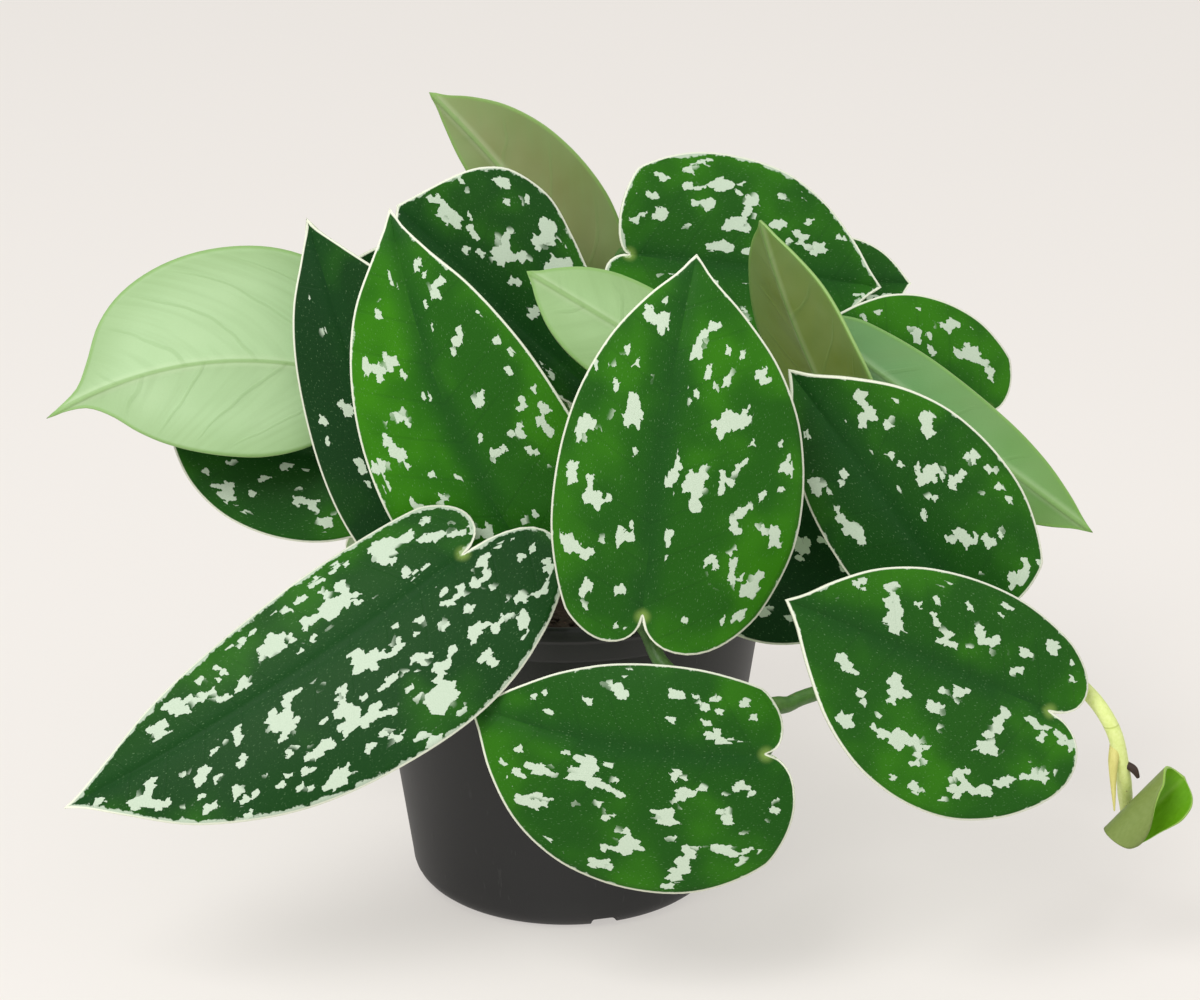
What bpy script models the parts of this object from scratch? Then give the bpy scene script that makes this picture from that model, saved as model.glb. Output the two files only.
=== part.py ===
"""Satin pothos growing in a nursery pot: the pot, its soil, the vines with their leaf stalks, and the leaves.

Metres, +Z up. The origin is the centre of the pot's flat underside, and the plant's front faces -Y.
The tables below are in millimetres, and MM turns them into metres where the meshes are made.
"""
import math

import bmesh
import bpy
import numpy as np
from mathutils import Vector

MM = 0.001
GAP = 0.3
MERGE = 0.00001

RIM_RADIUS = 60.0
BASE_RADIUS = 44.5
POT_HEIGHT = 100.0
FOOT_FILLET = 6.0
WALL = 1.6
RIM_WALL = 2.4
RIM_BAND = 11.0
RIM_STEP = 1.2
LIP_RIDGE = 4.0
FLOOR_THICKNESS = 2.0
POT_STEPS = 40
NOTCHES = 4
NOTCH_WIDTH = 8.0
NOTCH_HEIGHT = 3.4
NOTCH_DEPTH = 12.0
NOTCH_TURN = math.radians(-75)

SOIL_TOP = 88.0
STEM_FOOT = SOIL_TOP + 0.7
STEM_STEPS = 2

BLADE_THICKNESS = 0.8
BLADE_ALONG = 9
BLADE_ACROSS = 6
VEIN_RISE = 1.6
OUTLINES = {
    "heart": [(0, 0), (0.05, -0.07), (0.17, -0.12), (0.36, -0.13), (0.56, -0.09), (0.76, 0), (0.90, 0.11),
              (0.985, 0.23), (1, 0.36), (0.96, 0.49), (0.86, 0.62), (0.66, 0.755), (0.38, 0.87),
              (0.14, 0.945), (0, 1)],
    "slim": [(0, 0), (0.05, -0.07), (0.17, -0.12), (0.38, -0.135), (0.60, -0.10), (0.82, -0.01),
             (0.96, 0.12), (1, 0.27), (0.94, 0.45), (0.80, 0.61), (0.57, 0.76), (0.27, 0.88),
             (0.08, 0.955), (0, 1)],
    "drawn_out": [(0, 0), (0.10, -0.07), (0.30, -0.12), (0.55, -0.10), (0.78, -0.01), (0.93, 0.10),
                  (1, 0.23), (0.98, 0.38), (0.89, 0.52), (0.74, 0.64), (0.54, 0.73), (0.29, 0.80),
                  (0.12, 0.86), (0.05, 0.92), (0, 1)],
    "broad_tip": [(0, 0), (0.10, -0.05), (0.30, -0.07), (0.50, 0.02), (0.64, 0.15), (0.76, 0.32),
                  (0.88, 0.45), (1, 0.62), (0.93, 0.79), (0.76, 0.88), (0.55, 0.93), (0.26, 0.97), (0, 1)],
    "furled": [(0, 0), (0.25, -0.08), (0.60, -0.11), (0.88, -0.04), (1, 0.10), (0.985, 0.25), (0.91, 0.41),
               (0.78, 0.60), (0.70, 0.75), (0.64, 0.87), (0.48, 0.96), (0.25, 0.995), (0, 1)],
}
OUTLINE_ASPECT = 0.36

VINE_RADIUS = 2.2
TIP_RADIUS = 0.75
PETIOLE_RADIUS = 1.4
PETIOLE_STEPS = 3
PETIOLE_SEAT = 2.5
PETIOLE_KNEE = 7.0
SEAT_GAP = 0.5
TUBE_RESOLUTION = 2

GREEN = (0.020, 0.110, 0.012)
STALK_GREEN = (0.110, 0.210, 0.040)
YOUNG_GREEN = (0.180, 0.380, 0.050)
POT_GREY = (0.036, 0.036, 0.038)
SOIL_BROWN = (0.045, 0.028, 0.018)

# Each blade: where its stalk joins, its tip, where its upper face looks, and its half-widths (left, right).
# Fold and cup, in degrees, and lobes, which scales the lobes at the stalk, also go left, right.
# Arch and sway are parts of the length. A stalk's own route, where it needs one, is in by, and meet turns
# the way it reaches the blade. Across is the number of faces across a blade that needs more than the others.
BLADES = {
    "leaf_front_left": dict(
        base=(-27, -60, 122), tip=(-133, -92, 62), face=(-0.15, -0.85, 0.6), halves=(38, 22), outline="slim",
        arch=0.05, sway=-0.04, fold=(8, 8), cup=(-25, -25), lobes=(1.3, 0.5),
        by=[(-26, -46, 100.8), (-28, -56, 104.8)]),
    "leaf_front_low": dict(
        base=(54, -88, 76), tip=(-25, -82, 88), face=(0, -0.97, 0.25), halves=(40, 23),
        arch=0.03, sway=-0.05, fold=(4, 4), cup=(-25, -25), lobes=(0.7, 0.45)),
    "leaf_front_centre": dict(
        base=(21, -79, 112), tip=(35, -60, 206), face=(0.05, -1, 0.35), halves=(27, 40),
        arch=0.05, sway=-0.02, fold=(4, 4), cup=(-25, -25), lobes=(0.6, 0.8)),
    "leaf_front_right": dict(
        base=(130, -78, 84), tip=(58, -94, 123), face=(0, -0.85, 0.5), halves=(38, 25), lobes=(1.1, 0.8)),
    "leaf_right_front": dict(
        base=(110, -56, 103), tip=(60, -50, 171), face=(-0.1, -1, 0.35), halves=(20, 32), lobes=(0.5, 0.4)),
    "leaf_left_upright": dict(
        base=(-9, -47, 115), tip=(-47, -24, 208), face=(-0.1, -1, 0.2), halves=(27, 31), outline="slim",
        arch=0.04, sway=-0.05, fold=(14, 14), cup=(-15, -15), lobes=(0.05, 0.4)),
    "leaf_left_dark": dict(
        base=(-42, -27, 115), tip=(-71, -6, 200), face=(-0.15, -1, 0.1), halves=(19, 31), outline="slim",
        arch=0.03, lobes=(0.4, 0.4)),
    "leaf_left_turned": dict(
        base=(-66, -4, 155), tip=(-144, -16, 145), face=(0.1, 0.9, -0.35), halves=(32.5, 27),
        outline="drawn_out", arch=-0.03, sway=-0.10, by=[(-34, -6, 120), (-50, -9, 140)]),
    "leaf_left_low": dict(
        base=(-52, 2, 127), tip=(-115, 11, 140), face=(0, -0.9, 0.4), halves=(25, 24),
        sway=-0.08, lobes=(0.3, 0.5)),
    "leaf_top_left": dict(
        base=(9, -2, 147), tip=(-46, -4, 203), face=(0.2, -0.9, 0.5), halves=(13, 33), outline="broad_tip",
        arch=0.02, sway=-0.02, fold=(12, 12), lobes=(0.4, 0.4)),
    "leaf_top_turned": dict(
        base=(5, 36, 169), tip=(-39, 46, 222), face=(0.1, 0.9, -0.2), halves=(20, 10), sway=-0.03),
    "leaf_centre_turned": dict(
        base=(33, -36, 167), tip=(-10, -30, 192), face=(0, 0.8, -0.5), halves=(14, 15),
        meet=(0.3, 0.95), by=[(36, -24, 122), (46, -32, 148)]),
    "leaf_top_right": dict(
        base=(18, 22, 181), tip=(91, 32, 168), face=(0, -0.8, 0.5), halves=(33, 24), lobes=(0.4, 0.7)),
    "leaf_top_right_back": dict(
        base=(68, 48, 165), tip=(102, 58, 161), face=(0, -0.8, 0.5), halves=(14, 15),
        by=[(40, 33, 130), (56, 38, 150)]),
    "leaf_right_standing": dict(
        base=(79, -24, 141), tip=(53, -28, 206), face=(0.8, 0.5, 0), halves=(26, 22), sway=0.06),
    "leaf_right_back": dict(
        base=(121, 16, 136), tip=(73, 4, 168), face=(0, -0.8, 0.5), halves=(22, 22), lobes=(0.5, 0.5),
        by=[(58, 16, 122), (100, 24, 121)]),
    "leaf_right_turned": dict(
        base=(78, -4, 162), tip=(147, -26, 115), face=(0.3, 0.8, -0.2), halves=(18, 12),
        by=[(62, -4, 118), (84, -12, 128), (89, -16, 146)]),
    "leaf_right_shaded": dict(
        base=(37, -40, 124), tip=(84, -47, 97), face=(0, -0.8, 0.5), halves=(23, 23)),
    "leaf_left_back": dict(
        base=(-22, 22, 162), tip=(-66, 14, 178), face=(0, -0.8, 0.5), halves=(17, 17)),
    "leaf_back_left": dict(
        base=(-30, 38, 114), tip=(-64, 84, 58), face=(-0.4, 0.6, 0.7), halves=(22, 22)),
    "leaf_back_centre": dict(
        base=(0, 44, 133), tip=(4, 114, 92), face=(0, 0.6, 0.8), halves=(30, 27)),
    "leaf_back_right": dict(
        base=(52, 42, 117), tip=(104, 84, 74), face=(0.5, 0.6, 0.6), halves=(27, 29)),
    "leaf_back_upper": dict(
        base=(28, 56, 138), tip=(34, 100, 162), face=(0, 0.8, 0.6), halves=(22, 22)),
    "leaf_rolled": dict(
        base=(154, -70, 43), tip=(169, -69, 60), face=(0, -0.93, 0.36), halves=(21.5, 8),
        outline=("furled", "broad_tip"), fold=(-8, 5), cup=(224, 40), lobes=(0.7, 0.3), across=12),
}

# Each vine: the points of its stem, and for each leaf the point of the stem that its stalk leaves from.
# Spurs are short growths on the stem: their points and their radius at the stem and at the tip.
VINES = {
    "vine_front": dict(
        stem=[(14, -36, STEM_FOOT), (14, -37, 97), (18, -53, 104.5), (22, -65, 103), (27, -73, 95),
              (40, -76, 87), (58, -72, 83), (66, -68, 84), (92, -56, 87), (112, -52, 88), (130, -58, 89),
              (141, -66, 85), (148.5, -71, 75.5), (152, -70.5, 62), (153.5, -67.4, 54), (154.5, -66.7, 46.5)],
        stalks={"leaf_front_centre": 3, "leaf_front_low": 6, "leaf_right_front": 9, "leaf_front_right": 10},
        spurs={"sheath": ([(149.5, -70.7, 71.5), (148.7, -74, 65), (149.5, -75.5, 53)], 1.5, 0.5),
               "aerial_root": ([(151.2, -70.8, 65.3), (154.4, -72, 64.2), (156, -72.5, 61.6)], 1.2, 0.8)}),
    "vine_left": dict(
        stem=[(-24, -22, STEM_FOOT), (-24, -22, 93), (-25, -26, 99), (-27, -28, 106), (-28, -28, 112)],
        stalks={"leaf_front_left": 2, "leaf_left_upright": 1, "leaf_left_dark": 3}),
    "vine_left_back": dict(
        stem=[(-26, 6, STEM_FOOT), (-26, 6, 95), (-27, 11, 104), (-29, 14, 112), (-30, 15, 119)],
        stalks={"leaf_left_turned": 2, "leaf_left_low": 1, "leaf_left_back": 3, "leaf_back_left": 2}),
    "vine_centre": dict(
        stem=[(4, 10, STEM_FOOT), (4, 10, 98), (5, 10, 110), (6, 12, 122), (6, 12, 130)],
        stalks={"leaf_top_left": 2, "leaf_top_turned": 1, "leaf_top_right": 3}),
    "vine_right": dict(
        stem=[(34, -12, STEM_FOOT), (34, -12, 95), (36, -13, 101), (38, -13, 107), (40, -12, 113),
              (42, -12, 119)],
        stalks={"leaf_right_shaded": 1, "leaf_right_standing": 2, "leaf_centre_turned": 3,
                "leaf_right_turned": 4}),
    "vine_back": dict(
        stem=[(22, 26, STEM_FOOT), (22, 26, 95), (25, 28, 104), (27, 29, 112), (28, 30, 119)],
        stalks={"leaf_right_back": 2, "leaf_top_right_back": 3, "leaf_back_centre": 1, "leaf_back_right": 1,
                "leaf_back_upper": 3}),
}


def clear_scene():
    """Remove whatever the new file holds."""
    for thing in list(bpy.data.objects):
        bpy.data.objects.remove(thing)


def new_collection(name):
    """A collection for the part or for its helpers."""
    collection = bpy.data.collections.new(name)
    bpy.context.scene.collection.children.link(collection)
    return collection


def material(name, colour, roughness):
    """A plain Principled material."""
    mat = bpy.data.materials.new(name)
    mat.use_nodes = True
    shader = mat.node_tree.nodes["Principled BSDF"]
    shader.inputs["Base Color"].default_value = (*colour, 1)
    shader.inputs["Roughness"].default_value = roughness
    shader.inputs["Metallic"].default_value = 0.0
    return mat


def unit(vector):
    """A vector of length one."""
    return vector / np.linalg.norm(vector)


def smooth_curve(points, steps):
    """A Catmull-Rom curve through points, with steps stretches between each two."""
    points = np.asarray(points, float)
    ends = np.vstack([2 * points[0] - points[1], points, 2 * points[-1] - points[-2]])
    curve = []
    for before, start, end, after in zip(ends, ends[1:], ends[2:], ends[3:]):
        for t in np.arange(steps) / steps:
            square = 2 * before - 5 * start + 4 * end - after
            cube = 3 * start - before - 3 * end + after
            curve.append(0.5 * (2 * start + (end - before) * t + square * t ** 2 + cube * t ** 3))
    return np.array(curve + [points[-1]])


def half_outline(points):
    """A leaf's half outline: distance along it from 0 to 1, and its across and along coordinates."""
    curve = smooth_curve(points, 8)
    steps = np.linalg.norm(np.diff(curve * [OUTLINE_ASPECT, 1], axis=0), axis=1)
    distance = np.concatenate([[0], np.cumsum(steps)])
    return distance / distance[-1], curve[:, 0], curve[:, 1]


EDGES = {name: half_outline(points) for name, points in OUTLINES.items()}


def edge_of(leaf, side):
    """The half outline of a leaf's left (0) or right (1) side."""
    outline = leaf.get("outline", "heart")
    return EDGES[outline if isinstance(outline, str) else outline[side]]


def leaf_frame(leaf):
    """Base point, length, direction to the tip, upper normal and right-hand side of a leaf."""
    base = np.array(leaf["base"], float)
    chord = np.array(leaf["tip"], float) - base
    length = np.linalg.norm(chord)
    along = chord / length
    face = np.array(leaf["face"], float)
    normal = unit(face - along * (face @ along))
    return base, length, along, normal, np.cross(along, normal)


def midrib(leaf, place):
    """Point, tangent, upper normal and right-hand side on the midrib at place, from 0 at the stalk to 1."""
    base, length, along, normal, right = leaf_frame(leaf)
    arch, sway = leaf.get("arch", 0), leaf.get("sway", 0)
    inside = min(max(place, 0), 1)
    bow = 4 * inside * (1 - inside)
    slope = 4 * (1 - 2 * inside)
    tangent = unit(along + (normal * arch + right * sway) * slope)
    point = base + length * (along * inside + (normal * arch + right * sway) * bow)
    point = point + tangent * length * (place - inside)
    up = unit(normal - tangent * (normal @ tangent))
    return point, tangent, up, np.cross(tangent, up)


def blade_point(leaf, row, column):
    """Where a flat grid point goes: row 0 to 1 from stalk to tip, column -1 to 1 from left to right."""
    side = int(column > 0)
    edge_at, edge_across, edge_along = edge_of(leaf, side)
    rim = np.interp(row, edge_at, edge_along)
    if rim < 0:
        rim *= leaf.get("lobes", (0.7, 0.7))[side]
    place = (1 - abs(column)) * row ** VEIN_RISE + abs(column) * rim
    point, _, up, right = midrib(leaf, place)
    half = leaf["halves"][side]
    fold = math.radians(leaf.get("fold", (12, 12))[side])
    bend = math.radians(leaf.get("cup", (-20, -20))[side]) / half
    reach = half * np.interp(row, edge_at, edge_across) * abs(column)
    out = (math.sin(fold + bend * reach) - math.sin(fold)) / bend
    lift = (math.cos(fold) - math.cos(fold + bend * reach)) / bend
    return point + right * out * np.sign(column) + up * lift


def add_object(name, mesh, mat, collection):
    """An object that holds mesh, with its material."""
    thing = bpy.data.objects.new(name, mesh)
    collection.objects.link(thing)
    mesh.materials.append(mat)
    return thing


def add_blade(name, leaf, mat, collection):
    """A leaf blade: a grid bent to its shape and thickened."""
    sheet = bmesh.new()
    bmesh.ops.create_grid(sheet, x_segments=leaf.get("across", BLADE_ACROSS), y_segments=BLADE_ALONG, size=1)
    for vert in sheet.verts:
        column, row = round(vert.co.x, 6), round((vert.co.y + 1) / 2, 6)
        vert.co = Vector(blade_point(leaf, row, column)) * MM
    bmesh.ops.remove_doubles(sheet, verts=sheet.verts, dist=MERGE)
    mesh = bpy.data.meshes.new(name)
    sheet.to_mesh(mesh)
    sheet.free()
    mesh.shade_smooth()
    blade = add_object(name, mesh, mat, collection)
    thicken = blade.modifiers.new("thickness", "SOLIDIFY")
    thicken.thickness = BLADE_THICKNESS * MM
    thicken.offset = 0
    return blade


def tube_mesh(name, points, radii):
    """A closed round tube along points, as a mesh. Radii has one radius for each point."""
    curve = bpy.data.curves.new(name, "CURVE")
    curve.dimensions = "3D"
    curve.bevel_depth = MM
    curve.bevel_resolution = TUBE_RESOLUTION
    curve.use_fill_caps = True
    spline = curve.splines.new("POLY")
    spline.points.add(len(points) - 1)
    for place, point, radius in zip(spline.points, points, radii):
        place.co = (*(Vector(point) * MM), 1)
        place.radius = radius
    guide = bpy.data.objects.new(name, curve)
    bpy.context.scene.collection.objects.link(guide)
    bpy.context.view_layer.update()
    mesh = bpy.data.meshes.new_from_object(guide.evaluated_get(bpy.context.evaluated_depsgraph_get()))
    bpy.data.objects.remove(guide)
    skin = bmesh.new()
    skin.from_mesh(mesh)
    bmesh.ops.remove_doubles(skin, verts=skin.verts, dist=MERGE)
    skin.to_mesh(mesh)
    skin.free()
    return mesh


def stalk_points(stem, leave_at, leaf):
    """A leaf stalk's route, from the stem up to the blade's underside just past the notch."""
    start = np.array(stem[leave_at], float)
    point, tangent, up, _ = midrib(leaf, 0)
    rise, run = leaf.get("meet", (0.8, 0.6))
    room = BLADE_THICKNESS / 2 + SEAT_GAP + PETIOLE_RADIUS * run
    end = point + tangent * PETIOLE_SEAT - up * room
    knee = end - (up * rise + tangent * run) * PETIOLE_KNEE
    reach = knee - start
    lift = start + reach * 0.35 + np.array([0, 0, 0.12]) * np.linalg.norm(reach)
    return smooth_curve([start, *leaf.get("by", [lift]), knee, end], PETIOLE_STEPS)


def add_vine(name, vine, mat, collection, helpers):
    """A stem with its leaf stalks and spurs, which grew as one piece, joined by a union."""
    route = smooth_curve(vine["stem"], STEM_STEPS)
    radii = [VINE_RADIUS] * (len(route) - STEM_STEPS) + [VINE_RADIUS * TIP_RADIUS] * STEM_STEPS
    stem = add_object(name, tube_mesh(name, route, radii), mat, collection)
    branches = {}
    for leaf_name, leave_at in vine["stalks"].items():
        points = stalk_points(vine["stem"], leave_at, BLADES[leaf_name])
        branches[leaf_name + "_stalk"] = (points, [PETIOLE_RADIUS] * len(points))
    for spur_name, (points, start_radius, tip_radius) in vine.get("spurs", {}).items():
        branches[spur_name] = (points, np.linspace(start_radius, tip_radius, len(points)))
    group = bpy.data.collections.new(name + "_branches")
    helpers.children.link(group)
    for branch_name, (points, branch_radii) in branches.items():
        branch = add_object(branch_name, tube_mesh(branch_name, points, branch_radii), mat, group)
        branch.hide_render = True
        branch.display_type = "WIRE"
    join = stem.modifiers.new("branches", "BOOLEAN")
    join.operation = "UNION"
    join.operand_type = "COLLECTION"
    join.collection = group
    join.solver = "EXACT"
    return stem


def turned(name, profile, steps, mat, collection):
    """A solid of revolution: the profile, given as radius and height down the outer side, turned about Z."""
    outline = bmesh.new()
    corners = [outline.verts.new((radius * MM, 0, height * MM)) for radius, height in profile]
    for start, end in zip(corners, corners[1:]):
        outline.edges.new((start, end))
    if profile[0][0] > 0:
        outline.edges.new((corners[-1], corners[0]))
    mesh = bpy.data.meshes.new(name)
    outline.to_mesh(mesh)
    outline.free()
    thing = add_object(name, mesh, mat, collection)
    screw = thing.modifiers.new("turn", "SCREW")
    screw.steps = steps
    screw.render_steps = steps
    screw.use_merge_vertices = True
    screw.merge_threshold = MERGE
    screw.use_smooth_shade = True
    return thing


def wall_radius(height):
    """The pot's outer radius at a height, on its straight side."""
    top = RIM_RADIUS - RIM_STEP
    return BASE_RADIUS + (top - BASE_RADIUS) * height / POT_HEIGHT


def pot_profile():
    """The pot's closed section, from the inner floor's centre up the inside and down the outside."""
    foot = []
    for turn in np.radians([0, 30, 60, 90]):
        radius = wall_radius(FOOT_FILLET) - FOOT_FILLET * (1 - math.cos(turn))
        foot.append((radius, FOOT_FILLET * (1 - math.sin(turn))))
    band = POT_HEIGHT - RIM_BAND
    inner_floor = wall_radius(0) - FOOT_FILLET - WALL
    return [
        (0, FLOOR_THICKNESS),
        (inner_floor, FLOOR_THICKNESS),
        (wall_radius(FOOT_FILLET) - WALL, FOOT_FILLET),
        (wall_radius(band) - WALL, band),
        (RIM_RADIUS - RIM_WALL, POT_HEIGHT - LIP_RIDGE),
        (RIM_RADIUS - RIM_WALL, POT_HEIGHT),
        (RIM_RADIUS, POT_HEIGHT),
        (RIM_RADIUS, POT_HEIGHT - LIP_RIDGE),
        (RIM_RADIUS - RIM_STEP / 2, POT_HEIGHT - LIP_RIDGE - 0.6),
        (wall_radius(band) + RIM_STEP / 2, band + 0.6),
        (wall_radius(band), band),
        *foot,
        (0, 0),
    ]


def add_pot(mat, collection, helpers):
    """The pot with its drainage notches cut through the foot."""
    pot = turned("pot", pot_profile(), POT_STEPS, mat, collection)
    for index in range(NOTCHES):
        turn = NOTCH_TURN + index * math.tau / NOTCHES
        block = bmesh.new()
        bmesh.ops.create_cube(block, size=1)
        size = Vector((NOTCH_DEPTH, NOTCH_WIDTH, 2 * NOTCH_HEIGHT)) * MM
        bmesh.ops.scale(block, verts=block.verts, vec=size)
        mesh = bpy.data.meshes.new("notch_cutter")
        block.to_mesh(mesh)
        block.free()
        cutter = bpy.data.objects.new("notch_cutter", mesh)
        helpers.objects.link(cutter)
        cutter.location = Vector((math.cos(turn), math.sin(turn), 0)) * (BASE_RADIUS * MM)
        cutter.rotation_euler.z = turn
        cutter.hide_render = True
        cutter.display_type = "WIRE"
        cut = pot.modifiers.new("notch", "BOOLEAN")
        cut.operation = "DIFFERENCE"
        cut.object = cutter
        cut.solver = "EXACT"
    return pot


def add_soil(mat, collection):
    """The block of potting mix, a little smaller than the pot's inside all round."""
    inner_floor = wall_radius(0) - FOOT_FILLET - WALL
    band = POT_HEIGHT - RIM_BAND
    clear = GAP * 1.4
    profile = [
        (0, SOIL_TOP),
        (wall_radius(band) - WALL - 2.5, SOIL_TOP),
        (wall_radius(SOIL_TOP - 2) - WALL - clear, SOIL_TOP - 2),
        (wall_radius(FOOT_FILLET) - WALL - clear, FOOT_FILLET + clear),
        (inner_floor - clear, FLOOR_THICKNESS + clear),
        (0, FLOOR_THICKNESS + clear),
    ]
    return turned("soil", profile, POT_STEPS, mat, collection)


def main():
    """Build the whole plant."""
    clear_scene()
    part = new_collection("satin_pothos")
    helpers = new_collection("helpers")
    add_pot(material("pot_plastic", POT_GREY, 0.45), part, helpers)
    add_soil(material("soil", SOIL_BROWN, 0.95), part)
    leaf_green = material("leaf", GREEN, 0.45)
    young_green = material("young_leaf", YOUNG_GREEN, 0.4)
    stalk_green = material("stalk", STALK_GREEN, 0.5)
    for name, leaf in BLADES.items():
        add_blade(name, leaf, young_green if name == "leaf_rolled" else leaf_green, part)
    for name, vine in VINES.items():
        add_vine(name, vine, stalk_green, part, helpers)


main()
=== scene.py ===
"""Satin pothos in its nursery pot: the finished leaves, vines, potting mix and pot, and a plain studio.

Metres, +Z up. The tables are in millimetres, and MM turns them into metres where the meshes are made.
"""
import math
import random

import bmesh
import bpy
import numpy as np
from mathutils import Matrix, Vector, noise


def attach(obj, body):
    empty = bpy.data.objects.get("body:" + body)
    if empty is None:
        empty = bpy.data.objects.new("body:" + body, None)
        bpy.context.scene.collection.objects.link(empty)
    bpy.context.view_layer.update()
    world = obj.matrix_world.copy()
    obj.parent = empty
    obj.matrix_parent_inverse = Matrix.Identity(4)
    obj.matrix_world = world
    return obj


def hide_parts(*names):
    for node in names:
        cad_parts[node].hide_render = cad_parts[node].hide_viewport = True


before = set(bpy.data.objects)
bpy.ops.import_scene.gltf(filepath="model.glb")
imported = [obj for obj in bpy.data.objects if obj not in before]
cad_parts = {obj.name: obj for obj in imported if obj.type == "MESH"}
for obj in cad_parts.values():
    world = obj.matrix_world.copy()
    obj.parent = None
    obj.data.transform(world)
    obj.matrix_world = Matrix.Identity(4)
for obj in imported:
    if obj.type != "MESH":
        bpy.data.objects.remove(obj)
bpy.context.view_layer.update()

MM = 0.001
MERGE = 0.00001

# The pot and its potting mix.
RIM_RADIUS = 60.0
BASE_RADIUS = 44.5
POT_HEIGHT = 100.0
FOOT_FILLET = 6.0
WALL = 1.6
RIM_WALL = 2.4
RIM_BAND = 11.0
RIM_STEP = 1.2
LIP_RIDGE = 4.0
LIP_ROUND = 0.8
FLOOR_THICKNESS = 2.0
POT_STEPS = 160
CREASE = math.radians(32)
NOTCHES = 4
NOTCH_WIDTH = 8.0
NOTCH_HEIGHT = 3.4
NOTCH_DEPTH = 12.0
NOTCH_EDGE = 0.9
NOTCH_TURN = math.radians(-75)
SOIL_TOP = 88.0
SOIL_CLEARANCE = 0.42
SOIL_STEPS = 96
SOIL_RINGS = 26
CRUMBS = 320
CRUMB_REACH = 52
CRUMB_SEED = 11
STEM_FOOT = SOIL_TOP + 0.7

# The blades. The flat UV map holds millimetres divided by FLAT_SCALE. A blade has the fold, cup, lobes,
# meet and painted shade given here where its own entry has none.
BLADE_THICKNESS = 0.8
BLADE_ALONG = 56
BLADE_ACROSS = 36
VEIN_RISE = 1.6
FLAT_SCALE = 100
FOLD = (12, 12)
CUP = (-20, -20)
LOBES = (0.7, 0.7)
MEET = (0.8, 0.6)
PLAIN_PAINTED_SHADE_AND_SPLASH = (0.40, 0.40, 0.50)
SWELLING = 0.10
EDGE_WAVE = 1.6
MIDRIB_VALLEY = 0.35
# The pattern: how steeply its veins and silver chips run towards the tip, and the size of its cells.
VEIN_CLIMB = 0.55
CHIP_LEAN = 0.25
CHIP_WIDTH = 1.5
CHIP_LENGTH = 2.1
# Half outlines: across, as a part of the half-width, and along, as a part of the length.
OUTLINES = {
    "heart": [(0, 0), (0.05, -0.07), (0.17, -0.12), (0.36, -0.13), (0.56, -0.09), (0.76, 0), (0.90, 0.11),
              (0.985, 0.23), (1, 0.36), (0.96, 0.49), (0.86, 0.62), (0.66, 0.755), (0.38, 0.87),
              (0.14, 0.945), (0, 1)],
    "slim": [(0, 0), (0.05, -0.07), (0.17, -0.12), (0.38, -0.135), (0.60, -0.10), (0.82, -0.01),
             (0.96, 0.12), (1, 0.27), (0.94, 0.45), (0.80, 0.61), (0.57, 0.76), (0.27, 0.88),
             (0.08, 0.955), (0, 1)],
    "drawn_out": [(0, 0), (0.10, -0.07), (0.30, -0.12), (0.55, -0.10), (0.78, -0.01), (0.93, 0.10),
                  (1, 0.23), (0.98, 0.38), (0.89, 0.52), (0.74, 0.64), (0.54, 0.73), (0.29, 0.80),
                  (0.12, 0.86), (0.05, 0.92), (0, 1)],
    "broad_tip": [(0, 0), (0.10, -0.05), (0.30, -0.07), (0.50, 0.02), (0.64, 0.15), (0.76, 0.32),
                  (0.88, 0.45), (1, 0.62), (0.93, 0.79), (0.76, 0.88), (0.55, 0.93), (0.26, 0.97), (0, 1)],
    "furled": [(0, 0), (0.25, -0.08), (0.60, -0.11), (0.88, -0.04), (1, 0.10), (0.985, 0.25), (0.91, 0.41),
               (0.78, 0.60), (0.70, 0.75), (0.64, 0.87), (0.48, 0.96), (0.25, 0.995), (0, 1)],
}
OUTLINE_ASPECT = 0.36
OUTLINE_STEPS = 12

# The stems and stalks. TIP_RADIUS is a part of the stem's radius.
VINE_RADIUS = 2.2
TIP_RADIUS = 0.75
NODE_SWELL = 0.2
NODE_REACH = 2.2
PETIOLE_RADIUS = 1.4
PETIOLE_STEPS = 8
PETIOLE_SEAT = 2.5
PETIOLE_KNEE = 7.0
SEAT_GAP = 0.5
STEM_STEPS = 6
SKIN_VOXEL = 0.42
DETAIL_VOXEL = 0.2
SOFTEN_ROUNDS = 3

# The studio. Its lengths are in metres, except the camera's focal length and sensor.
CAMERA_TILT = math.radians(21)
CAMERA_RANGE = 1.0
CAMERA_AIM = (0.0098, 0.0, 0.1146)
CAMERA_LENS = 105.12
CAMERA_SENSOR = 36
FLOOR_HALF = 6
# The floor's own glow: painted light, no lamp, that softens the shadows on the floor.
FLOOR_PAINTED_GLOW = 0.51
SKY_STRENGTH = 0.65
# Each lamp: its place, the side of its square and its power in watts.
LAMPS = {"key": ((-0.6, -1.0, 1.5), 0.8, 20.0), "fill": ((1.2, -0.9, 1.0), 1.4, 4.0)}

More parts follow.
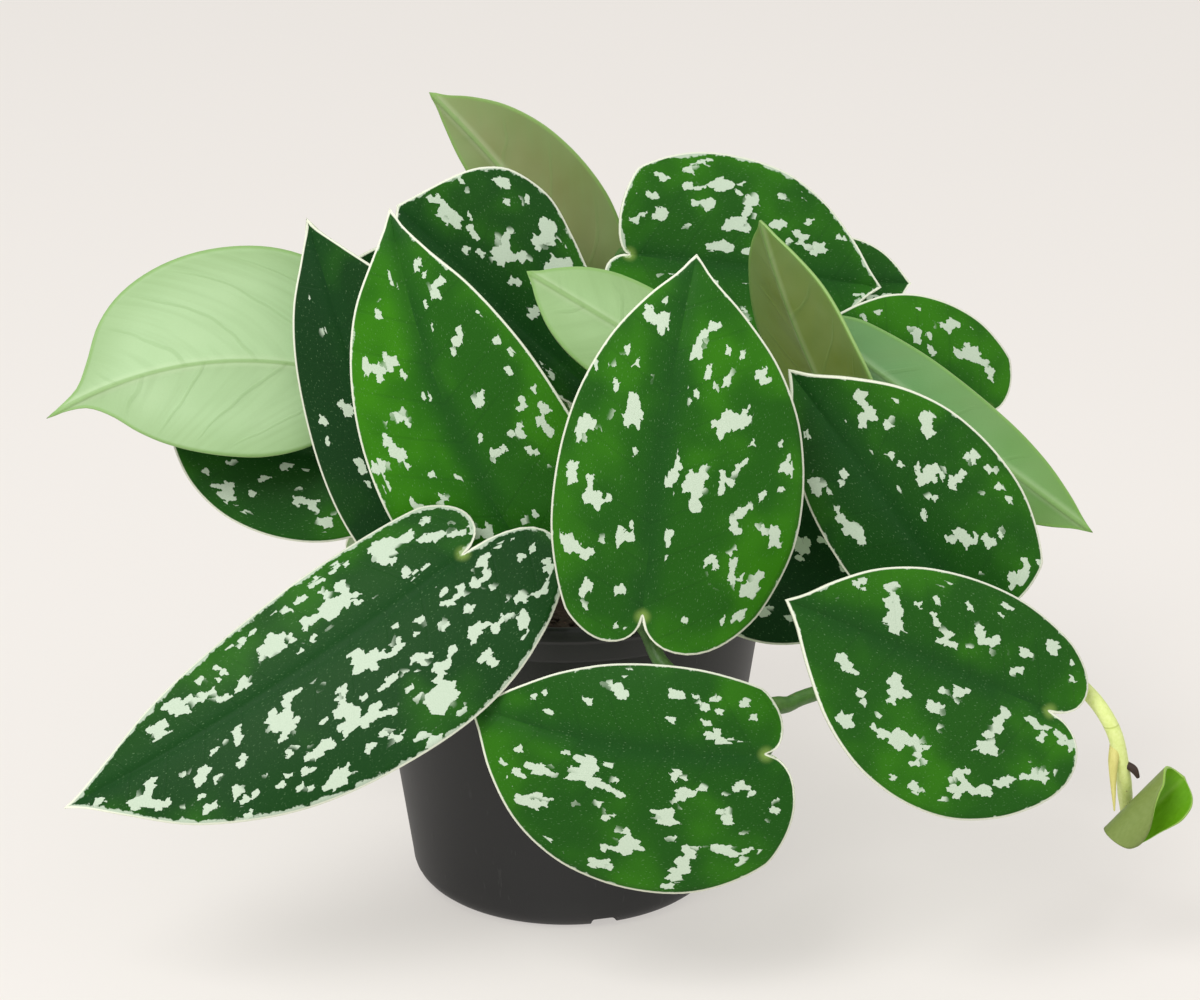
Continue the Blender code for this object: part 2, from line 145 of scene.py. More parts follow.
# Each blade: where its stalk joins, its tip, where its upper face looks, and its half-widths (left, right).
# Fold and cup, in degrees, and lobes, which scales the lobes at the stalk, also go left, right. An outline
# is one name, or one for each side. Arch and sway are parts of the length. A stalk's own route, where it
# needs one, is in by, and meet turns the way it reaches the blade.
BLADES = {
    "leaf_front_left": dict(
        base=(-27, -60, 122), tip=(-133, -92, 62), face=(-0.15, -0.85, 0.6), halves=(38, 22), outline="slim",
        arch=0.05, sway=-0.04, fold=(8, 8), cup=(-25, -25), lobes=(1.3, 0.5),
        by=[(-26, -46, 100.8), (-28, -56, 104.8)]),
    "leaf_front_low": dict(
        base=(54, -88, 76), tip=(-25, -82, 88), face=(0, -0.97, 0.25), halves=(40, 23),
        arch=0.03, sway=-0.05, fold=(4, 4), cup=(-25, -25), lobes=(0.7, 0.45)),
    "leaf_front_centre": dict(
        base=(21, -79, 112), tip=(35, -60, 206), face=(0.05, -1, 0.35), halves=(27, 40),
        arch=0.05, sway=-0.02, fold=(4, 4), cup=(-25, -25), lobes=(0.6, 0.8)),
    "leaf_front_right": dict(
        base=(130, -78, 84), tip=(58, -94, 123), face=(0, -0.85, 0.5), halves=(38, 25), lobes=(1.1, 0.8)),
    "leaf_right_front": dict(
        base=(110, -56, 103), tip=(60, -50, 171), face=(-0.1, -1, 0.35), halves=(20, 32), lobes=(0.5, 0.4)),
    "leaf_left_upright": dict(
        base=(-9, -47, 115), tip=(-47, -24, 208), face=(-0.1, -1, 0.2), halves=(27, 31), outline="slim",
        arch=0.04, sway=-0.05, fold=(14, 14), cup=(-15, -15), lobes=(0.05, 0.4)),
    "leaf_left_dark": dict(
        base=(-42, -27, 115), tip=(-71, -6, 200), face=(-0.15, -1, 0.1), halves=(19, 31), outline="slim",
        arch=0.03, lobes=(0.4, 0.4)),
    "leaf_left_turned": dict(
        base=(-66, -4, 155), tip=(-144, -16, 145), face=(0.1, 0.9, -0.35), halves=(32.5, 27),
        outline="drawn_out", arch=-0.03, sway=-0.10, by=[(-34, -6, 120), (-50, -9, 140)]),
    "leaf_left_low": dict(
        base=(-52, 2, 127), tip=(-115, 11, 140), face=(0, -0.9, 0.4), halves=(25, 24),
        sway=-0.08, lobes=(0.3, 0.5)),
    "leaf_top_left": dict(
        base=(9, -2, 147), tip=(-46, -4, 203), face=(0.2, -0.9, 0.5), halves=(13, 33), outline="broad_tip",
        arch=0.02, sway=-0.02, fold=(12, 12), lobes=(0.4, 0.4)),
    "leaf_top_turned": dict(
        base=(5, 36, 169), tip=(-39, 46, 222), face=(0.1, 0.9, -0.2), halves=(20, 10), sway=-0.03),
    "leaf_centre_turned": dict(
        base=(33, -36, 167), tip=(-10, -30, 192), face=(0, 0.8, -0.5), halves=(14, 15),
        meet=(0.3, 0.95), by=[(36, -24, 122), (46, -32, 148)]),
    "leaf_top_right": dict(
        base=(18, 22, 181), tip=(91, 32, 168), face=(0, -0.8, 0.5), halves=(33, 24), lobes=(0.4, 0.7)),
    "leaf_top_right_back": dict(
        base=(68, 48, 165), tip=(102, 58, 161), face=(0, -0.8, 0.5), halves=(14, 15),
        by=[(40, 33, 130), (56, 38, 150)]),
    "leaf_right_standing": dict(
        base=(79, -24, 141), tip=(53, -28, 206), face=(0.8, 0.5, 0), halves=(26, 22), sway=0.06),
    "leaf_right_back": dict(
        base=(121, 16, 136), tip=(73, 4, 168), face=(0, -0.8, 0.5), halves=(22, 22), lobes=(0.5, 0.5),
        by=[(58, 16, 122), (100, 24, 121)]),
    "leaf_right_turned": dict(
        base=(78, -4, 162), tip=(147, -26, 115), face=(0.3, 0.8, -0.2), halves=(18, 12),
        by=[(62, -4, 118), (84, -12, 128), (89, -16, 146)]),
    "leaf_right_shaded": dict(
        base=(37, -40, 124), tip=(84, -47, 97), face=(0, -0.8, 0.5), halves=(23, 23)),
    "leaf_left_back": dict(
        base=(-22, 22, 162), tip=(-66, 14, 178), face=(0, -0.8, 0.5), halves=(17, 17)),
    "leaf_back_left": dict(
        base=(-30, 38, 114), tip=(-64, 84, 58), face=(-0.4, 0.6, 0.7), halves=(22, 22)),
    "leaf_back_centre": dict(
        base=(0, 44, 133), tip=(4, 114, 92), face=(0, 0.6, 0.8), halves=(30, 27)),
    "leaf_back_right": dict(
        base=(52, 42, 117), tip=(104, 84, 74), face=(0.5, 0.6, 0.6), halves=(27, 29)),
    "leaf_back_upper": dict(
        base=(28, 56, 138), tip=(34, 100, 162), face=(0, 0.8, 0.6), halves=(22, 22)),
    "leaf_rolled": dict(
        base=(154, -70, 43), tip=(169, -69, 60), face=(0, -0.93, 0.36), halves=(21.5, 8),
        outline=("furled", "broad_tip"), fold=(-8, 5), cup=(224, 40), lobes=(0.7, 0.3)),
}

# Each vine: the points of its stem, and for each leaf the point of the stem that its stalk leaves from.
VINES = {
    "vine_front": dict(
        stem=[(14, -36, STEM_FOOT), (14, -37, 97), (18, -53, 104.5), (22, -65, 103), (27, -73, 95),
              (40, -76, 87), (58, -72, 83), (66, -68, 84), (92, -56, 87), (112, -52, 88), (130, -58, 89),
              (141, -66, 85), (148.5, -71, 75.5), (152, -70.5, 62), (153.5, -67.4, 54), (154.5, -66.7, 46.5)],
        stalks={"leaf_front_centre": 3, "leaf_front_low": 6, "leaf_right_front": 9, "leaf_front_right": 10}),
    "vine_left": dict(
        stem=[(-24, -22, STEM_FOOT), (-24, -22, 93), (-25, -26, 99), (-27, -28, 106), (-28, -28, 112)],
        stalks={"leaf_front_left": 2, "leaf_left_upright": 1, "leaf_left_dark": 3}),
    "vine_left_back": dict(
        stem=[(-26, 6, STEM_FOOT), (-26, 6, 95), (-27, 11, 104), (-29, 14, 112), (-30, 15, 119)],
        stalks={"leaf_left_turned": 2, "leaf_left_low": 1, "leaf_left_back": 3, "leaf_back_left": 2}),
    "vine_centre": dict(
        stem=[(4, 10, STEM_FOOT), (4, 10, 98), (5, 10, 110), (6, 12, 122), (6, 12, 130)],
        stalks={"leaf_top_left": 2, "leaf_top_turned": 1, "leaf_top_right": 3}),
    "vine_right": dict(
        stem=[(34, -12, STEM_FOOT), (34, -12, 95), (36, -13, 101), (38, -13, 107), (40, -12, 113),
              (42, -12, 119)],
        stalks={"leaf_right_shaded": 1, "leaf_right_standing": 2, "leaf_centre_turned": 3,
                "leaf_right_turned": 4}),
    "vine_back": dict(
        stem=[(22, 26, STEM_FOOT), (22, 26, 95), (25, 28, 104), (27, 29, 112), (28, 30, 119)],
        stalks={"leaf_right_back": 2, "leaf_top_right_back": 3, "leaf_back_centre": 1, "leaf_back_right": 1,
                "leaf_back_upper": 3}),
}
SHEATH = [(149.5, -70.7, 71.5), (148.7, -74, 65), (149.5, -75.5, 53)]
AERIAL_ROOT = [(151.2, -70.8, 65.3), (154.4, -72, 64.2), (156, -72.5, 61.6)]

# Painted light and shade on each upper face, left and right of its midrib: how much light falls on that
# side and how deep the shadows of the leaves round it are; then how much of it is splashed with silver.
PAINTED_SHADE_AND_SPLASH = {
    "leaf_front_left": (0.10, 0.22, 0.68), "leaf_front_low": (0.42, 0.42, 0.46),
    "leaf_front_centre": (0.50, 0.60, 0.42), "leaf_front_right": (0.48, 0.44, 0.46),
    "leaf_right_front": (0.20, 0.35, 0.46), "leaf_left_upright": (0.90, 0.60, 0.48),
    "leaf_left_dark": (0.00, 0.05, 0.08), "leaf_left_low": (0.28, 0.28, 0.40),
    "leaf_top_left": (0.10, 0.25, 0.58), "leaf_top_right": (0.50, 0.55, 0.62),
    "leaf_left_back": (0.00, 0.05, 0.20), "leaf_right_shaded": (0.00, 0.00, 0.40),
    "leaf_right_back": (0.65, 0.65, 0.42),
}
# The underside colour of the turned leaves, at the stalk and at the tip. PALE_UNDER is the plain pale green;
# the darker, olive and bluer tints of the others are painted shade and back-light on the leaves that lie
# in shadow or against the light.
PALE_UNDER = ((0.39, 0.57, 0.30), (0.42, 0.60, 0.33))
UNDER_AND_PAINTED_SHADE = {
    "leaf_left_turned": PALE_UNDER,
    "leaf_centre_turned": ((0.33, 0.52, 0.22), (0.37, 0.55, 0.27)),
    "leaf_top_turned": ((0.17, 0.18, 0.055), (0.25, 0.29, 0.12)),
    "leaf_right_standing": ((0.20, 0.27, 0.035), (0.20, 0.28, 0.06)),
    "leaf_right_turned": ((0.18, 0.40, 0.16), (0.16, 0.33, 0.08)),
}


class Value:
    """A socket that gives a number, for writing shader maths as plain expressions."""

    def __init__(self, paint, socket):
        self.paint = paint
        self.socket = socket

    def math(self, operation, *values):
        return self.paint.number("ShaderNodeMath", {"operation": operation}, dict(enumerate(values)))

    def __add__(self, other):
        return self.math("ADD", self, other)

    def __radd__(self, other):
        return self.math("ADD", other, self)

    def __sub__(self, other):
        return self.math("SUBTRACT", self, other)

    def __rsub__(self, other):
        return self.math("SUBTRACT", other, self)

    def __mul__(self, other):
        return self.math("MULTIPLY", self, other)

    def __rmul__(self, other):
        return self.math("MULTIPLY", other, self)

    def __truediv__(self, other):
        return self.math("DIVIDE", self, other)

    def __gt__(self, other):
        return self.math("GREATER_THAN", self, other)

    def larger(self, other):
        return self.math("MAXIMUM", self, other)

    def size(self):
        return self.math("ABSOLUTE", self)


class Paint:
    """A material and its nodes."""

    def __init__(self, name):
        self.mat = bpy.data.materials.new(name)
        self.mat.use_nodes = True
        self.tree = self.mat.node_tree
        self.shader = self.tree.nodes["Principled BSDF"]

    def node(self, kind, settings, sockets, out=0):
        """Add a node and return one of its outputs: its settings come first, then its sockets."""
        made = self.tree.nodes.new(kind)
        for key, value in settings.items():
            setattr(made, key, value)
        for key, value in sockets.items():
            self.feed(made.inputs[key], value)
        return made.outputs[out]

    def number(self, kind, settings, sockets, out=0):
        return Value(self, self.node(kind, settings, sockets, out))

    def feed(self, socket, value):
        """Link a socket, or set its value."""
        value = value.socket if isinstance(value, Value) else value
        if isinstance(value, bpy.types.NodeSocket):
            self.tree.links.new(value, socket)
        elif isinstance(value, tuple) and len(value) == 3 and socket.type == "RGBA":
            socket.default_value = (*value, 1)
        else:
            socket.default_value = value

    def finish(self, **sockets):
        """Feed the surface shader."""
        for key, value in sockets.items():
            self.feed(self.shader.inputs[key.replace("_", " ")], value)
        return self.mat

    def attribute(self, name):
        return self.number("ShaderNodeAttribute", {"attribute_name": name}, {}, "Fac")

    def step(self, value, low, high):
        """Rises smoothly from 0 at low to 1 at high."""
        sockets = {"Value": value, "From Min": low, "From Max": high}
        return self.number("ShaderNodeMapRange", {"interpolation_type": "SMOOTHSTEP"}, sockets)

    def mix(self, amount, first, second):
        return self.node("ShaderNodeMix", {"data_type": "RGBA"}, {0: amount, 6: first, 7: second}, 2)

    def vector(self, x, y, z=0.0):
        return self.node("ShaderNodeCombineXYZ", {}, {"X": x, "Y": y, "Z": z})

    def noise(self, place, scale, detail=2.0, rough=0.5):
        sockets = {"Vector": place, "Scale": scale, "Detail": detail, "Roughness": rough}
        return self.number("ShaderNodeTexNoise", {}, sockets, "Fac")

    def stretch(self, place, factors):
        return self.node("ShaderNodeVectorMath", {"operation": "MULTIPLY"}, {0: place, 1: factors})

    def place(self):
        return self.node("ShaderNodeTexCoord", {}, {}, "Object")

    def bump(self, height, distance, strength=1.0):
        return self.node("ShaderNodeBump", {}, {"Height": height, "Distance": distance, "Strength": strength})

    def part_of(self, vector, axis):
        """One coordinate of a vector."""
        return self.number("ShaderNodeSeparateXYZ", {}, {0: vector}, axis)

    def leaf_place(self):
        """Distance across a leaf from its midrib, along it from its stalk, in millimetres, and its side."""
        flat = self.node("ShaderNodeUVMap", {"uv_map": "flat"}, {})
        x, y = self.part_of(flat, "X") * FLAT_SCALE, self.part_of(flat, "Y") * FLAT_SCALE
        return x.size(), y, x > 0


def smooth_curve(points, steps):
    """A Catmull-Rom curve through points, with steps stretches between each two."""
    points = np.asarray(points, float)
    ends = np.vstack([2 * points[0] - points[1], points, 2 * points[-1] - points[-2]])
    curve = []
    for before, start, end, after in zip(ends, ends[1:], ends[2:], ends[3:]):
        for t in np.arange(steps) / steps:
            square = 2 * before - 5 * start + 4 * end - after
            cube = 3 * start - before - 3 * end + after
            curve.append(0.5 * (2 * start + (end - before) * t + square * t ** 2 + cube * t ** 3))
    return np.array(curve + [points[-1]])


def unit(vector):
    """A vector of length one."""
    return vector / np.linalg.norm(vector)


def half_outline(points):
    """A leaf's half outline: distance along it from 0 to 1, and its across and along coordinates."""
    curve = smooth_curve(points, OUTLINE_STEPS)
    steps = np.linalg.norm(np.diff(curve * [OUTLINE_ASPECT, 1], axis=0), axis=1)
    distance = np.concatenate([[0], np.cumsum(steps)])
    return distance / distance[-1], curve[:, 0], curve[:, 1]


EDGES = {name: half_outline(points) for name, points in OUTLINES.items()}


def edge_of(leaf, side):
    """The half outline of a leaf's left (0) or right (1) side."""
    outline = leaf.get("outline", "heart")
    return EDGES[outline if isinstance(outline, str) else outline[side]]


def leaf_frame(leaf):
    """Base point, length, direction to the tip, upper normal and right-hand side of a leaf."""
    base = np.array(leaf["base"], float)
    chord = np.array(leaf["tip"], float) - base
    length = np.linalg.norm(chord)
    along = chord / length
    face = np.array(leaf["face"], float)
    normal = unit(face - along * (face @ along))
    return base, length, along, normal, np.cross(along, normal)


def midrib(leaf, place):
    """Point, tangent, upper normal and right-hand side on the midrib at place, from 0 at the stalk to 1."""
    base, length, along, normal, right = leaf_frame(leaf)
    arch, sway = leaf.get("arch", 0), leaf.get("sway", 0)
    inside = min(max(place, 0), 1)
    bow = 4 * inside * (1 - inside)
    slope = 4 * (1 - 2 * inside)
    tangent = unit(along + (normal * arch + right * sway) * slope)
    point = base + length * (along * inside + (normal * arch + right * sway) * bow)
    point = point + tangent * length * (place - inside)
    up = unit(normal - tangent * (normal @ tangent))
    return point, tangent, up, np.cross(tangent, up)


def rim_of(leaf, side):
    """One half of the leaf's outline in flat millimetres."""
    _, across, along = edge_of(leaf, side)
    lobe = leaf.get("lobes", LOBES)[side]
    along = np.where(along < 0, along * lobe, along)
    return np.column_stack([across * leaf["halves"][side], along * leaf_frame(leaf)[1]])


def rim_distance(rim, spot):
    """Shortest distance from a spot to the outline."""
    start, run = rim[:-1], np.diff(rim, axis=0)
    share = ((spot - start) * run).sum(1) / np.maximum((run ** 2).sum(1), 1e-9)
    nearest = start + run * np.clip(share, 0, 1)[:, None]
    return np.linalg.norm(nearest - spot, axis=1).min()


def relief(reach, along, column, seed):
    """Fine height of the blade: a valley along the midrib, low swellings between the veins, a waving edge."""
    climb = along - 0.75 * reach
    swelling = SWELLING * math.sin(climb * 0.55) * min(reach / 6, 1) * (1 - abs(column))
    wave = noise.noise(Vector((reach * 0.035, along * 0.035, seed))) * EDGE_WAVE * column ** 2
    return swelling + wave - MIDRIB_VALLEY * math.exp(-(reach / 1.1) ** 2)


def cross_section(leaf, side, reach):
    """How far out and how high the folded and cupped blade lies at a flat distance from its midrib."""
    fold = math.radians(leaf.get("fold", FOLD)[side])
    bend = math.radians(leaf.get("cup", CUP)[side]) / leaf["halves"][side]
    out = (math.sin(fold + bend * reach) - math.sin(fold)) / bend
    return out, (math.cos(fold) - math.cos(fold + bend * reach)) / bend


def add_leaf(name, leaf, seed, mats):
    """A leaf blade: a fine grid bent to its shape, with its flat coordinates kept for the pattern."""
    length = leaf_frame(leaf)[1]
    rims = [rim_of(leaf, 0), rim_of(leaf, 1)]
    # Painted light and shade for each side of the midrib, and the silver splash.
    left_painted_light, right_painted_light, splash = PAINTED_SHADE_AND_SPLASH.get(name, PLAIN_PAINTED_SHADE_AND_SPLASH)
    at_stalk, at_tip = UNDER_AND_PAINTED_SHADE.get(name, PALE_UNDER)
    sheet = bmesh.new()
    bmesh.ops.create_grid(sheet, x_segments=BLADE_ACROSS, y_segments=BLADE_ALONG, size=1)
    keys = ("edge", "light", "splash", "seed", "turned", "flat_x", "flat_y")
    numbers = {key: sheet.verts.layers.float.new(key) for key in keys}
    under_tint_and_shade = sheet.verts.layers.float_color.new("under_and_painted_shade")
    for vert in sheet.verts:
        column, row = round(vert.co.x, 6), round((vert.co.y + 1) / 2, 6)
        side = int(column > 0)
        edge_at, edge_across, edge_along = edge_of(leaf, side)
        rim = np.interp(row, edge_at, edge_along)
        if rim < 0:
            rim *= leaf.get("lobes", LOBES)[side]
        place = (1 - abs(column)) * row ** VEIN_RISE + abs(column) * rim
        reach = leaf["halves"][side] * np.interp(row, edge_at, edge_across) * abs(column)
        out, lift = cross_section(leaf, side, reach)
        lift += relief(reach, place * length, column, seed)
        point, _, up, right = midrib(leaf, place)
        vert.co = Vector(point + right * out * np.sign(column) + up * lift) * MM
        values = {
            "edge": rim_distance(rims[side], np.array([reach, place * length])),
            # Painted light and shade, from the left side's to the right side's across the midrib.
            "light": np.interp(column, [-0.4, 0.4], [left_painted_light, right_painted_light]),
            "splash": splash,
            "seed": seed,
            "turned": name in UNDER_AND_PAINTED_SHADE,
            "flat_x": reach * np.sign(column) / FLAT_SCALE,
            "flat_y": place * length / FLAT_SCALE,
        }
        for key, value in values.items():
            vert[numbers[key]] = value
        # The underside tint, with painted shade and back-light on some leaves.
        vert[under_tint_and_shade] = (*Vector(at_stalk).lerp(at_tip, min(max(place, 0), 1)), 1)
    bmesh.ops.remove_doubles(sheet, verts=sheet.verts, dist=MERGE)
    flat = sheet.loops.layers.uv.new("flat")
    for face in sheet.faces:
        face.smooth = True
        for loop in face.loops:
            loop[flat].uv = (loop.vert[numbers["flat_x"]], loop.vert[numbers["flat_y"]])
    piece = add_piece(name + "_blade", sheet, mats, "young_leaf" if name == "leaf_rolled" else "leaf", name)
    thicken = piece.modifiers.new("thickness", "SOLIDIFY")
    thicken.thickness = BLADE_THICKNESS * MM
    thicken.offset = 0
    thicken.material_offset = 1
    thicken.material_offset_rim = 2


def put(name, data):
    """A new object in the scene, round a mesh, curve, light or camera. A bmesh becomes its mesh first."""
    if isinstance(data, bmesh.types.BMesh):
        mesh = bpy.data.meshes.new(name)
        data.to_mesh(mesh)
        data.free()
        data = mesh
    thing = bpy.data.objects.new(name, data)
    bpy.context.scene.collection.objects.link(thing)
    return thing


def add_piece(name, mesh_or_sheet, mats, slot, *nodes):
    """A finished piece of the plant that stands for its CAD nodes."""
    piece = put(name, mesh_or_sheet)
    for mat in mats:
        piece.data.materials.append(mat)
    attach(piece, "root")
    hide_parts(*nodes)
    return piece


def evaluated(thing):
    """The mesh that an object's modifiers or bevel make, after which the object is removed."""
    bpy.context.view_layer.update()
    mesh = bpy.data.meshes.new_from_object(thing.evaluated_get(bpy.context.evaluated_depsgraph_get()))
    bpy.data.objects.remove(thing)
    return mesh


def tubes(name, routes):
    """Round tubes along routes of points and radii, as one mesh."""
    curve = bpy.data.curves.new(name, "CURVE")
    curve.dimensions = "3D"
    curve.bevel_depth = MM
    curve.bevel_resolution = 4
    curve.use_fill_caps = True
    for points, radii in routes:
        spline = curve.splines.new("POLY")
        spline.points.add(len(points) - 1)
        for place, point, radius in zip(spline.points, points, radii):
            place.co = (*(Vector(point) * MM), 1)
            place.radius = radius
    return evaluated(put(name, curve))


def grown_together(name, routes, voxel):
    """One skin over tubes that run into each other, with soft joins."""
    rough = put(name, tubes(name, routes))
    skin = rough.modifiers.new("skin", "REMESH")
    skin.mode = "VOXEL"
    skin.voxel_size = voxel * MM
    soften = rough.modifiers.new("soften", "SMOOTH")
    soften.factor = 0.5
    soften.iterations = SOFTEN_ROUNDS
    grown = evaluated(rough)
    grown.shade_smooth()
    return grown


def stalk_points(stem, leave_at, leaf):
    """A leaf stalk's route, from the stem up to the blade's underside just past the notch."""
    start = np.array(stem[leave_at], float)
    point, tangent, up, _ = midrib(leaf, 0)
    rise, run = leaf.get("meet", MEET)
    room = BLADE_THICKNESS / 2 + SEAT_GAP + PETIOLE_RADIUS * run
    end = point + tangent * PETIOLE_SEAT - up * room
    knee = end - (up * rise + tangent * run) * PETIOLE_KNEE
    reach = knee - start
    lift = start + reach * 0.35 + np.array([0, 0, 0.12]) * np.linalg.norm(reach)
    route = smooth_curve([start, *leaf.get("by", [lift]), knee, end], PETIOLE_STEPS)
    return np.vstack([route, end + up * room * 0.6 + tangent * 1.2])


def add_vine(name, vine, mat):
    """A stem with its swollen nodes and its leaf stalks, grown together."""
    route = smooth_curve(vine["stem"], STEM_STEPS)
    nodes = np.array([vine["stem"][at] for at in vine["stalks"].values()], float)
    gaps = np.linalg.norm(route[:, None] - nodes[None], axis=2).min(1)
    radii = VINE_RADIUS * (0.97 + NODE_SWELL * np.exp(-(gaps / NODE_REACH) ** 2))
    radii[-STEM_STEPS:] *= np.linspace(0.95, TIP_RADIUS, STEM_STEPS)
    routes = [(route, radii)]
    for leaf_name, leave_at in vine["stalks"].items():
        points = stalk_points(vine["stem"], leave_at, BLADES[leaf_name])
        taper = np.interp(np.linspace(0, 1, len(points)), [0, 0.12, 0.85, 1], [1.25, 1.0, 0.95, 0.75])
        routes.append((points, PETIOLE_RADIUS * taper))
    add_piece(name + "_stems", grown_together(name, routes, SKIN_VOXEL), [mat], "vine", name)


def wall_radius(height):
    """The pot's outer radius at a height, on its straight side."""
    top = RIM_RADIUS - RIM_STEP
    return BASE_RADIUS + (top - BASE_RADIUS) * height / POT_HEIGHT


def turned(profile, steps):
    """A closed profile, as radius and height in millimetres, turned about the pot's axis."""
    solid = bmesh.new()
    corners = [solid.verts.new((radius * MM, 0, height * MM)) for radius, height in profile]
    edges = [solid.edges.new(pair) for pair in zip(corners, corners[1:])]
    if profile[0][0] > 0:
        edges.append(solid.edges.new((corners[-1], corners[0])))
    bmesh.ops.spin(solid, geom=corners + edges, cent=(0, 0, 0), axis=(0, 0, 1), angle=math.tau, steps=steps,
                   use_merge=True)
    bmesh.ops.remove_doubles(solid, verts=solid.verts, dist=MERGE)
    bmesh.ops.recalc_face_normals(solid, faces=solid.faces)
    return solid


def pot_profile():
    """The pot's closed section, from the inner floor's centre up the inside and down the outside."""
    foot = []
    for turn in np.radians(np.linspace(0, 90, 9)):
        radius = wall_radius(FOOT_FILLET) - FOOT_FILLET * (1 - math.cos(turn))
        foot.append((radius, FOOT_FILLET * (1 - math.sin(turn))))
    lip = []
    for turn in np.linspace(-math.pi / 2, math.pi / 2, 9):
        radius = RIM_RADIUS - RIM_WALL / 2 + RIM_WALL / 2 * math.sin(turn)
        lip.append((radius, POT_HEIGHT - LIP_ROUND * (1 - math.cos(turn))))
    band = POT_HEIGHT - RIM_BAND
    return [
        (0, FLOOR_THICKNESS),
        (wall_radius(0) - FOOT_FILLET - WALL, FLOOR_THICKNESS),
        (wall_radius(FOOT_FILLET) - WALL, FOOT_FILLET),
        (wall_radius(band) - WALL, band),
        (RIM_RADIUS - RIM_WALL, POT_HEIGHT - LIP_RIDGE),
        *lip,
        (RIM_RADIUS, POT_HEIGHT - LIP_RIDGE + 0.5),
        (RIM_RADIUS - 0.15, POT_HEIGHT - LIP_RIDGE),
        (RIM_RADIUS - RIM_STEP / 2, POT_HEIGHT - LIP_RIDGE - 0.5),
        (RIM_RADIUS - RIM_STEP / 2 - 0.15, POT_HEIGHT - LIP_RIDGE - 1.0),
        (wall_radius(band) + RIM_STEP / 2, band + 0.9),
        (wall_radius(band) + RIM_STEP / 2 - 0.2, band + 0.4),
        (wall_radius(band), band),
        *foot,
        (0, 0),
    ]


def add_pot(mat):
    """The moulded pot with its drainage notches."""
    pot = put("pot_blank", turned(pot_profile(), POT_STEPS))
    cutters = []
    for index in range(NOTCHES):
        turn = NOTCH_TURN + index * math.tau / NOTCHES
        block = bmesh.new()
        bmesh.ops.create_cube(block, size=1)
        size = Vector((NOTCH_DEPTH, NOTCH_WIDTH, 2 * NOTCH_HEIGHT)) * MM
        bmesh.ops.scale(block, verts=block.verts, vec=size)
        bmesh.ops.bevel(block, geom=block.edges, offset=NOTCH_EDGE * MM, offset_type="OFFSET",
                        affect="EDGES", segments=3, profile=0.5, material=-1)
        bmesh.ops.rotate(block, verts=block.verts, cent=(0, 0, 0), matrix=Matrix.Rotation(turn, 3, "Z"))
        middle = Vector((math.cos(turn), math.sin(turn), 0)) * (BASE_RADIUS * MM)
        bmesh.ops.translate(block, verts=block.verts, vec=middle)
        cutters.append(put("notch", block))
        cut = pot.modifiers.new("notch", "BOOLEAN")
        cut.operation = "DIFFERENCE"
        cut.object = cutters[-1]
        cut.solver = "EXACT"
    shell = evaluated(pot)
    for cutter in cutters:
        bpy.data.objects.remove(cutter)
    shell.shade_smooth()
    shell.set_sharp_from_angle(angle=CREASE)
    add_piece("nursery_pot", shell, [mat], "pot", "pot")


def add_soil(mat):
    """The potting mix: an uneven turned block with crumbs and bits of bark on top."""
    edge = wall_radius(POT_HEIGHT - RIM_BAND) - WALL - 3.5
    top = [(radius, SOIL_TOP) for radius in np.linspace(0, edge, SOIL_RINGS)]
    gap = WALL + SOIL_CLEARANCE
    solid = turned([
        *top,
        (wall_radius(SOIL_TOP - 3) - gap, SOIL_TOP - 3),
        (wall_radius(FOOT_FILLET) - gap, FOOT_FILLET + SOIL_CLEARANCE),
        (wall_radius(0) - FOOT_FILLET - gap, FLOOR_THICKNESS + SOIL_CLEARANCE),
        (0, FLOOR_THICKNESS + SOIL_CLEARANCE),
    ], SOIL_STEPS)
    for vert in solid.verts:
        if vert.co.z > (SOIL_TOP - 0.5) * MM:
            spot = vert.co * 140
            vert.co.z += (noise.noise(spot) * 1.1 + noise.noise(spot * 3.1) * 0.7 - 0.6) * MM
    rng = random.Random(CRUMB_SEED)
    for _ in range(CRUMBS):
        radius, turn = CRUMB_REACH * math.sqrt(rng.random()), rng.uniform(0, math.tau)
        height = SOIL_TOP + rng.uniform(-0.6, 0.4)
        spot = Vector((radius * math.cos(turn), radius * math.sin(turn), height)) * MM
        size = rng.uniform(0.5, 1.7) * MM
        crumb = bmesh.ops.create_icosphere(solid, subdivisions=1, radius=size)["verts"]
        stretch = (rng.uniform(0.8, 2.0), rng.uniform(0.7, 1.2), rng.uniform(0.4, 0.8))
        bmesh.ops.scale(solid, verts=crumb, vec=stretch)
        for vert in crumb:
            vert.co *= 1 + 0.3 * noise.noise(vert.co * 900 + spot * 500)
        spin = Matrix.Rotation(rng.uniform(0, 3), 3, "Z")
        bmesh.ops.rotate(solid, verts=crumb, cent=(0, 0, 0), matrix=spin)
        bmesh.ops.translate(solid, verts=crumb, vec=spot)
    for face in solid.faces:
        face.smooth = True
    add_piece("potting_mix", solid, [mat], "soil", "soil")


def add_tip_details(sheath_mat, root_mat):
    """The papery sheath and the aerial root at the end of the trailing vine."""
    sheath = smooth_curve(SHEATH, 8)
    radii = np.interp(np.linspace(0, 1, len(sheath)), [0, 0.35, 1], [1.6, 1.5, 0.25])
    root = smooth_curve(AERIAL_ROOT, 6)
    root_radii = np.interp(np.linspace(0, 1, len(root)), [0, 0.6, 1], [1.2, 1.1, 0.5])
    for name, route, mat in (("vine_sheath", (sheath, radii), sheath_mat),
                             ("aerial_root", (root, root_radii), root_mat)):
        piece = put(name, grown_together(name, [route], DETAIL_VOXEL))
        piece.data.materials.append(mat)
        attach(piece, "root")


